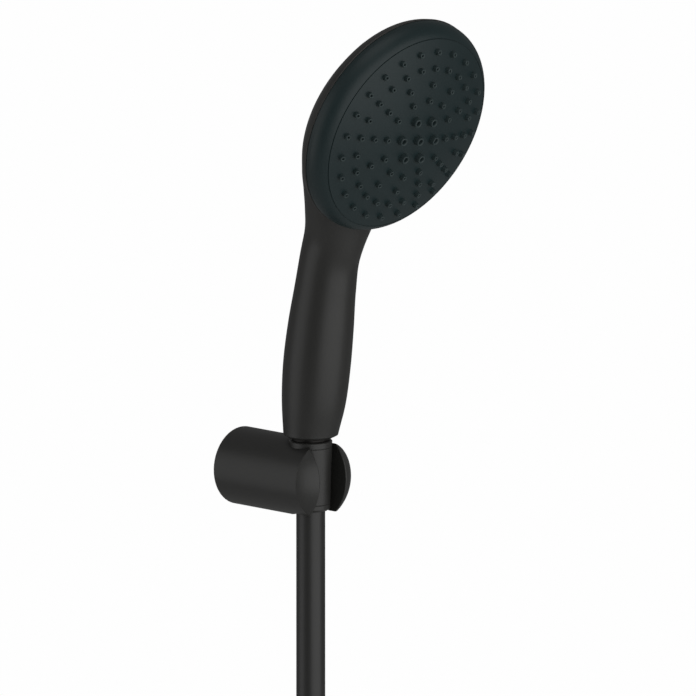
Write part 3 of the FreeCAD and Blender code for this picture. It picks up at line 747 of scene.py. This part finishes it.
@dataclass
class HandsetShell:
    """Handle, neck and head back as one hollow moulding that flows from one to the next.

    Attributes:
        face: Where the spray face stands.
        head_radius: Radius of the head.
        widest: Where the head is widest, out from the rim plane.
        back_depth: From the rim plane to the back of the dome.
        back_round: Radius of the rounded side behind the widest place.
        front_edge: Place of the moulding's front edge, out from the rim plane.
        ledge: Place of the ledge inside the edge, out from the rim plane.
        lip_radius: Radius inside the edge.
        neck_datum: From the rim plane to where the neck's depths are given from.
        wall: Thickness of the moulding.
        lip_round: Radius of the edge's rounded outer corner.
        lip_proud: How far the edge stands out of the head's curve.
        base_height: Height of the handle's lower end.
        base_bevel_top: Height at which the bevel of the lower end begins.
        base_outline: Radius and height of each step from there to the flat end.
        bore_offset: Distance of the inlet's axis from the wall.
        bore_radius: Radius of the bore for the inlet.
        block_top: The handle is solid below this height.
        waist: A height between the base's open loop and the rim's.
        blend: Size of the soft transition between neck and head.
        grid: Size of the mesh's squares.
        handle: Height, distance of the middle from the wall and radius, up the handle.
        neck: Place up the face, depth behind the neck's datum, half width and half depth.
    """

    face: FacePlace
    head_radius: float = 65.0
    widest: float = -5.3
    back_depth: float = 36.4
    back_round: float = 14.0
    front_edge: float = -8.3
    ledge: float = -12.0
    lip_radius: float = 60.9
    neck_datum: float = 12.8
    wall: float = 2.8
    lip_round: float = 0.45
    lip_proud: float = 0.12
    base_height: float = 23.6
    base_bevel_top: float = 25.4
    base_outline: Outline = ((15.45, 25.15), (12.7, 23.72), (12.3, 23.6), (11.0, 23.6))
    bore_offset: float = 56.3
    bore_radius: float = 9.05
    block_top: float = 45.0
    waist: float = 60.0
    blend: float = 9.0
    grid: float = 1.0
    handle: Sequence[tuple[float, float, float]] = (
        (12.0, 54.9, 13.9),
        (25.4, 56.4, 15.60),
        (45.0, 58.8, 18.25),
        (66.0, 61.3, 19.20),
        (88.0, 64.4, 18.75),
        (112.0, 68.3, 17.40),
        (130.0, 71.9, 16.95),
    )
    neck: Sequence[tuple[float, float, float, float]] = (
        (-83.8, 14.4, 17.4, 17.4),
        (-65.0, 14.4, 24.8, 17.1),
        (-51.0, 14.0, 31.9, 16.5),
        (-35.0, 13.3, 40.0, 15.6),
        (-20.0, 12.6, 43.7, 14.2),
        (6.0, 10.0, 40.0, 11.5),
        (28.0, 6.0, 28.0, 8.0),
        (44.0, 0.0, 14.0, 4.0),
    )

    def __post_init__(self) -> None:
        """Works out the spine and the dome once."""
        self.spine = self.spine_table(240)
        self.round_at = self.head_radius - self.back_round
        rise = self.back_depth + self.widest
        self.sphere = ((self.round_at ** 2 + rise ** 2 - self.back_round ** 2)
                       / (2 * (rise - self.back_round)))
        self.sphere_at = self.sphere - self.back_depth

    def spine_table(self, count: int) -> np.ndarray:
        """Sections along the handle and neck, evenly spaced and smooth.

        Args:
            count: How many sections.

        Returns:
            A row for each section: centre y and z, half width, half depth, depth direction y, z.
        """
        place = self.face.matrix()
        tilt = math.radians(self.face.tilt_deg)
        rows = [[-distance, height, radius, radius] for height, distance, radius in self.handle]
        for along, behind, half_width, half_depth in self.neck:
            centre = place @ Vector((0, along, -self.neck_datum - behind))
            rows.append([centre.y, centre.z, half_width, half_depth])
        table = np.array(rows)
        directions = np.zeros((len(rows), 2))
        directions[:, 0] = 1.0
        for index in range(2, len(self.handle)):
            run = table[index + 1, :2] - table[index - 1, :2]
            directions[index] = np.array([run[1], -run[0]]) / np.hypot(*run)
        directions[len(self.handle):] = (math.cos(tilt), math.sin(tilt))
        table = np.hstack([table, directions])
        steps = np.hypot(*np.diff(table[:, :2], axis=0).T)
        at = np.concatenate([[0], np.cumsum(steps)])
        fine = np.linspace(0, at[-1], count)
        slopes = np.gradient(table, at, axis=0)
        return np.column_stack([hermite(at, table[:, c], slopes[:, c], fine) for c in range(6)])

    def tube_distance(self, points: np.ndarray) -> np.ndarray:
        """Distance from the skin of the handle and neck, negative inside.

        Args:
            points: Places, one to a row.

        Returns:
            The distance of each place, exact at the skin.
        """
        centres = self.spine[:, :2]
        flat = points[:, 1:]
        gaps = ((flat[:, None, :] - centres[None, ::6, :]) ** 2).sum(axis=2)
        at = gaps.argmin(axis=1) * 6.0
        last = len(self.spine) - 1
        spacing = np.hypot(*(centres[1] - centres[0]))
        index = np.arange(len(self.spine))
        for _ in range(3):
            row = np.column_stack([np.interp(at, index, self.spine[:, c]) for c in range(6)])
            along = np.column_stack([-row[:, 5], row[:, 4]])
            at = np.clip(at + ((flat - row[:, :2]) * along).sum(axis=1) / spacing, 0, last)
        row = np.column_stack([np.interp(at, index, self.spine[:, c]) for c in range(6)])
        depth = ((flat - row[:, :2]) * row[:, 4:6]).sum(axis=1)
        unit = np.hypot(points[:, 0] / row[:, 2], depth / row[:, 3])
        radial = (unit - 1) * np.minimum(row[:, 2], row[:, 3])
        along = np.column_stack([-row[:, 5], row[:, 4]])
        beyond = np.abs(((flat - row[:, :2]) * along).sum(axis=1))
        past_end = (at <= 0) | (at >= last)
        return np.where(past_end, np.maximum(radial, beyond), radial)

    def head_distance(self, points: np.ndarray) -> tuple[np.ndarray, np.ndarray]:
        """Distance from the skin of the head's side and back, negative inside.

        Args:
            points: Places, one to a row.

        Returns:
            The distance of each place, and how far out of the rim plane it lies.
        """
        local = points @ np.array(self.face.matrix().inverted().to_3x3()).T + np.array(
            self.face.matrix().inverted().translation)
        radius = np.hypot(local[:, 0], local[:, 1])
        out = local[:, 2]
        side = radius - self.head_radius
        corner = np.hypot(radius - self.round_at, out - self.widest) - self.back_round
        dome = np.hypot(radius, out - self.sphere_at) - self.sphere
        turn = np.arctan2(self.widest - out, radius - self.round_at)
        lean = math.atan2(self.sphere_at - self.widest, self.round_at)
        round_side = np.where((turn >= 0) & (turn <= lean), corner, dome)
        skin = np.where(out > self.widest, side, round_side)
        return np.maximum(skin, out - 5.0), out

    def distance(self, points: np.ndarray) -> np.ndarray:
        """Distance from the whole skin, with the neck flowing into the head.

        Args:
            points: Places, one to a row.

        Returns:
            The distance of each place, negative inside.
        """
        head, out = self.head_distance(points)
        blend = np.clip(self.front_edge - 1.0 - out, 0.4, self.blend)
        return smooth_least(self.tube_distance(points), head, blend)

    def settle(self, points: np.ndarray, depth: float, rounds: int) -> np.ndarray:
        """Moves places onto the skin, or to an even depth below it.

        Args:
            points: Places near the skin.
            depth: How far below the skin they go.
            rounds: How many times they are moved.

        Returns:
            The moved places.
        """
        probe = 0.05
        for _ in range(rounds):
            value = self.distance(points) + depth
            slope = np.column_stack([
                (self.distance(points + probe * axis) - self.distance(points - probe * axis))
                / (2 * probe) for axis in np.eye(3)])
            strength = np.maximum((slope ** 2).sum(axis=1), 0.3)
            step = np.clip(value / strength, -2.0, 2.0)
            points = points - slope * step[:, None]
        return points

    def rough_mesh(self) -> bpy.types.Mesh:
        """Joins a plain tube and a plain head and gives them one even skin.

        Returns:
            The mesh, in metres.
        """
        build = bmesh.new()
        rings = []
        sides = 64
        for row in self.spine[::4]:
            ring = []
            for step in range(sides):
                turn = math.tau * step / sides
                depth = row[3] * math.sin(turn)
                ring.append(build.verts.new((row[2] * math.cos(turn), row[0] + row[4] * depth,
                                             row[1] + row[5] * depth)))
            rings.append(ring)
        for low, high in zip(rings, rings[1:]):
            for step in range(sides):
                after = (step + 1) % sides
                build.faces.new([low[step], low[after], high[after], high[step]])
        build.faces.new(rings[0][::-1])
        build.faces.new(rings[-1])
        lean = math.atan2(self.sphere_at - self.widest, self.round_at)
        outline = [(0.0, 5.0), (self.head_radius, 5.0)]
        for turn in np.linspace(0.0, lean, 6):
            outline.append((self.round_at + self.back_round * math.cos(turn),
                            self.widest - self.back_round * math.sin(turn)))
        for turn in np.linspace(lean, math.pi / 2, 12)[1:-1]:
            outline.append((self.sphere * math.cos(turn),
                            self.sphere_at - self.sphere * math.sin(turn)))
        outline.append((0.0, -self.back_depth))
        lathe(build, outline, self.face.matrix(), 96)
        rough = new_piece("rough_handset", mesh_of(build))
        even = rough.modifiers.new("even", "REMESH")
        even.mode = "VOXEL"
        even.voxel_size = self.grid * MM
        graph = bpy.context.evaluated_depsgraph_get()
        mesh = bpy.data.meshes.new_from_object(rough.evaluated_get(graph))
        bpy.data.objects.remove(rough)
        return mesh

    def skin(self, depth: float, rim_cut: float, base_cut: float) -> bmesh.types.BMesh:
        """One skin of the moulding, cut open at the rim and at the base.

        Args:
            depth: How far below the outer surface the skin lies.
            rim_cut: Where the rim is cut, out from the rim plane.
            base_cut: Height at which the handle is cut.

        Returns:
            The skin under construction, in millimetres.
        """
        mesh = self.rough_mesh()
        count = len(mesh.vertices)
        places = np.empty(count * 3)
        mesh.vertices.foreach_get("co", places)
        places = self.settle(places.reshape(-1, 3) / MM, depth, 5)
        mesh.vertices.foreach_set("co", places.ravel())
        build = bmesh.new()
        build.from_mesh(mesh)
        bpy.data.meshes.remove(mesh)
        place = self.face.matrix()
        cut_open(build, place @ Vector((0, 0, rim_cut)), place.to_3x3() @ Vector((0, 0, 1)),
                 lambda middle: middle.z > self.handle[-1][0])
        cut_open(build, Vector((0, 0, base_cut)), Vector((0, 0, -1)),
                 lambda middle: middle.z < self.handle[-1][0])
        return build

    def rim_outline(self) -> Outline:
        """Steps from the outer skin round the front edge and down inside it.

        Returns:
            Radius and height of each step, out from the rim plane.
        """
        drop = self.widest - self.front_edge
        edge = (self.round_at + math.sqrt(self.back_round ** 2 - drop ** 2) + self.lip_proud
                - self.lip_round)
        low = self.front_edge - self.lip_round
        turns = np.linspace(0.0, math.pi / 2, 5)
        return [*((edge + self.lip_round * math.cos(a), low + self.lip_round * math.sin(a))
                  for a in turns),
                (self.lip_radius + 0.3, self.front_edge),
                (self.lip_radius, self.front_edge - 0.3), (self.lip_radius, self.ledge)]

    def bore_outline(self) -> Outline:
        """Steps from the flat lower end up the inlet's bore."""
        return [(self.bore_radius + 0.2, self.base_height),
                (self.bore_radius, self.base_height + 0.2),
                (self.bore_radius, self.block_top - 0.1)]

    def build_mesh(self) -> bpy.types.Mesh:
        """Closes the outer and inner skins into one hollow moulding.

        Returns:
            The mesh, in metres.
        """
        inner = self.skin(self.wall, self.ledge, self.block_top)
        for part in inner.faces:
            part.normal_flip()
        inner_mesh = bpy.data.meshes.new("inner")
        inner.to_mesh(inner_mesh)
        inner.free()
        build = self.skin(0.0, self.front_edge - 0.8, self.base_bevel_top)
        handle_foot = Matrix.Translation((0, -self.handle[1][1], 0))
        bore_foot = Matrix.Translation((0, -self.bore_offset, 0))
        above: Callable[[Vector], bool] = lambda place: place.z > self.waist
        below: Callable[[Vector], bool] = lambda place: place.z < self.waist
        rim = follow_outline(build, boundary(build, above), self.face.matrix(),
                             self.rim_outline())
        base = follow_outline(build, boundary(build, below), handle_foot, self.base_outline)
        base = follow_outline(build, base, bore_foot, self.bore_outline())
        known = set(build.edges)
        build.from_mesh(inner_mesh)
        bpy.data.meshes.remove(inner_mesh)
        fresh = [e for e in build.edges if e not in known and e.is_boundary]
        for ring, wanted in ((rim, above), (base, below)):
            far = [e for e in fresh if wanted((e.verts[0].co + e.verts[1].co) / 2)]
            bmesh.ops.bridge_loops(build, edges=ring + far)
        return mesh_of(build)

    def build(self) -> None:
        """Builds the moulding in place of its plain stand-in."""
        shell = new_piece("handset_shell", self.build_mesh(), 40.0)
        Finishes.SATIN_BLACK.value.put_on(shell)
        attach(shell, "handset")
        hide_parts("handset_housing")
        log.info("handset_shell: %d faces", len(shell.data.polygons))


def hermite(at: np.ndarray, values: np.ndarray, slopes: np.ndarray,
            wanted: np.ndarray) -> np.ndarray:
    """Reads a smooth curve through given values and slopes.

    Args:
        at: Where the values stand, in rising order.
        values: The values.
        slopes: The curve's slope at each value.
        wanted: Where it is read.

    Returns:
        The curve's value at each wanted place.
    """
    index = np.clip(np.searchsorted(at, wanted, side="right") - 1, 0, len(at) - 2)
    gap = at[index + 1] - at[index]
    t = (wanted - at[index]) / gap
    return ((2 * t ** 3 - 3 * t ** 2 + 1) * values[index]
            + (t ** 3 - 2 * t ** 2 + t) * gap * slopes[index]
            + (3 * t ** 2 - 2 * t ** 3) * values[index + 1]
            + (t ** 3 - t ** 2) * gap * slopes[index + 1])


def smooth_least(a: np.ndarray, b: np.ndarray, size: np.ndarray) -> np.ndarray:
    """Gives the lesser of two distances, with a soft transition.

    Args:
        a: One distance at each place.
        b: The other distance at each place.
        size: Size of the transition, one for all places or one for each.

    Returns:
        The joined distance at each place.
    """
    near = np.maximum(size - np.abs(a - b), 0) / size
    return np.minimum(a, b) - near ** 2 * size / 4


def cut_open(build: bmesh.types.BMesh, point: Vector, normal: Vector,
             wanted: Callable[[Vector], bool]) -> None:
    """Cuts a skin along a plane and takes away what lies beyond it.

    Args:
        build: The mesh under construction.
        point: A point of the plane.
        normal: The plane's direction, towards what goes.
        wanted: Whether the plane cuts the mesh at a place.
    """
    faces = [f for f in build.faces if wanted(f.calc_center_median())]
    edges = {e for f in faces for e in f.edges}
    corners = {v for f in faces for v in f.verts}
    bmesh.ops.bisect_plane(build, geom=[*corners, *edges, *faces], plane_co=point,
                           plane_no=normal, dist=1e-4)
    beyond = [f for f in build.faces if wanted(f.calc_center_median())
              and (f.calc_center_median() - point).dot(normal) > 0]
    bmesh.ops.delete(build, geom=beyond, context="FACES")


def boundary(build: bmesh.types.BMesh, wanted: Callable[[Vector], bool]) -> list[Any]:
    """Finds the open edges of a part of the mesh.

    Args:
        build: The mesh under construction.
        wanted: Whether an edge with its middle at a place is taken.

    Returns:
        The edges.
    """
    return [e for e in build.edges
            if e.is_boundary and wanted((e.verts[0].co + e.verts[1].co) / 2)]


def follow_outline(build: bmesh.types.BMesh, edges: Iterable[Any], place: Matrix,
                   outline: Outline) -> list[Any]:
    """Extends an open loop through the steps of an outline round an axis.

    Args:
        build: The mesh under construction.
        edges: The loop's edges.
        place: Where the axis stands, with the axis as its Z.
        outline: The radius and height of each step.

    Returns:
        The edges of the last loop.
    """
    back = place.inverted()
    edges = list(edges)
    for radius, height in outline:
        made = bmesh.ops.extrude_edge_only(build, edges=edges)["geom"]
        edges = [g for g in made if isinstance(g, bmesh.types.BMEdge) and g.is_boundary]
        for corner in (g for g in made if isinstance(g, bmesh.types.BMVert)):
            local = back @ corner.co
            turn = math.atan2(local.y, local.x)
            corner.co = place @ Vector((radius * math.cos(turn), radius * math.sin(turn), height))
    return edges


@dataclass
class SprayFace:
    """The spray plate and the silicone nozzles that stand through it.

    Attributes:
        face: Where the spray face stands.
        dome_radius: Radius of the plate's dome.
        apex: How far the dome's top stands out of the rim plane.
        plate_wall: Thickness of the plate.
        mat_radius: Radius of the silicone mat behind it.
        mat_wall: Thickness of the mat.
        mat_gap: Space between plate and mat.
        rings: Radius, count and size of each ring of nozzles.
        phase_deg: Turn of the whole pattern.
    """

    face: FacePlace
    dome_radius: float = 185.5
    apex: float = 13.9
    plate_wall: float = 2.0
    mat_radius: float = 57.5
    mat_wall: float = 1.8
    mat_gap: float = 0.05
    rings: Sequence[tuple[float, int, bool]] = (
        (51.5, 24, False), (42.4, 24, False), (33.2, 12, False), (23.9, 12, False),
        (13.0, 6, True), (0.0, 1, True))
    phase_deg: float = -6.6

    def small_nozzle(self) -> Outline:
        """Outline of a small nozzle, from inside the plate over the tip and down the bore."""
        return [(0.0, -1.6), (1.75, -1.6), (1.75, 0.0), (1.66, 1.1), (1.60, 1.9), (1.54, 2.2),
                (1.40, 2.37), (1.18, 2.42), (0.90, 2.36), (0.70, 2.16), (0.58, 1.8),
                (0.52, -1.2), (0.0, -1.2)]

    def large_nozzle(self) -> Outline:
        """Outline of a large nozzle, with a wider mouth."""
        return [(0.0, -1.6), (2.75, -1.6), (2.75, 0.0), (2.60, 1.4), (2.50, 2.5), (2.42, 2.92),
                (2.22, 3.14), (1.96, 3.2), (1.68, 3.1), (1.44, 2.84), (1.28, 2.3),
                (1.20, -1.2), (0.0, -1.2)]

    def nozzle_places(self) -> list[tuple[Matrix, bool]]:
        """Places the nozzles on the dome.

        Returns:
            Where each nozzle stands, and whether it is a large one.
        """
        whole = self.face.matrix()
        centre = Vector((0, 0, self.apex - self.dome_radius))
        places = []
        for radius, count, large in self.rings:
            for index in range(count):
                turn = math.radians(self.phase_deg + 360 / count * index)
                rise = math.sqrt(self.dome_radius ** 2 - radius ** 2)
                out = Vector((radius * math.cos(turn), radius * math.sin(turn), rise))
                lean = out.to_track_quat("Z", "Y").to_matrix().to_4x4()
                places.append((whole @ Matrix.Translation(centre + out) @ lean, large))
        return places

    def build(self) -> None:
        """Builds the nozzles and their mat, and dresses the plate."""
        build = bmesh.new()
        nozzles = self.nozzle_places()
        for place, large in nozzles:
            lathe(build, self.large_nozzle() if large else self.small_nozzle(), place, 20)
        under = self.dome_radius - self.plate_wall - self.mat_gap
        centre = self.apex - self.dome_radius
        sheet = []
        for radius in np.linspace(self.mat_radius, 0.0, 14):
            sheet.append((float(radius), centre + math.sqrt(under ** 2 - radius ** 2)))
        back = [(r, z - self.mat_wall) for r, z in sheet[::-1]]
        lathe(build, sheet + back, self.face.matrix(), 72)
        mat = new_piece("nozzles", mesh_of(build), 45.0)
        Finishes.NOZZLE_SILICONE.value.put_on(mat)
        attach(mat, "handset")
        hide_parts("nozzle_mat")
        dress_nodes({"spray_faceplate": Finishes.FACE_GREY})
        log.info("nozzles: %d on the face", len(nozzles))


@dataclass
class Handset:
    """The whole handset: shell, spray face and the water parts inside."""

    face: FacePlace = field(default_factory=FacePlace)

    def build(self) -> None:
        """Builds the shell and face, and dresses what is inside."""
        HandsetShell(self.face).build()
        SprayFace(self.face).build()
        dress_nodes({
            "inlet_connector": Finishes.DARK_PLATED,
            "inlet_o_ring": Finishes.SEAL_RUBBER,
            "flow_limiter": Finishes.NATURAL_ACETAL,
            "waterway_tube": Finishes.NATURAL_ACETAL,
            "tube_o_ring": Finishes.SEAL_RUBBER,
            "water_distributor": Finishes.NATURAL_ACETAL,
            "engine_screws": Finishes.STEEL,
            "rim_seal": Finishes.SEAL_RUBBER,
        })


def main() -> None:
    """Builds the set in order."""
    logging.basicConfig(level=logging.INFO, format="%(message)s")
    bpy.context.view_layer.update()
    Studio().build()
    Hose().build()
    WallHolder().build()
    Handset().build()
    bpy.context.view_layer.update()


if __name__ == "__main__":
    main()
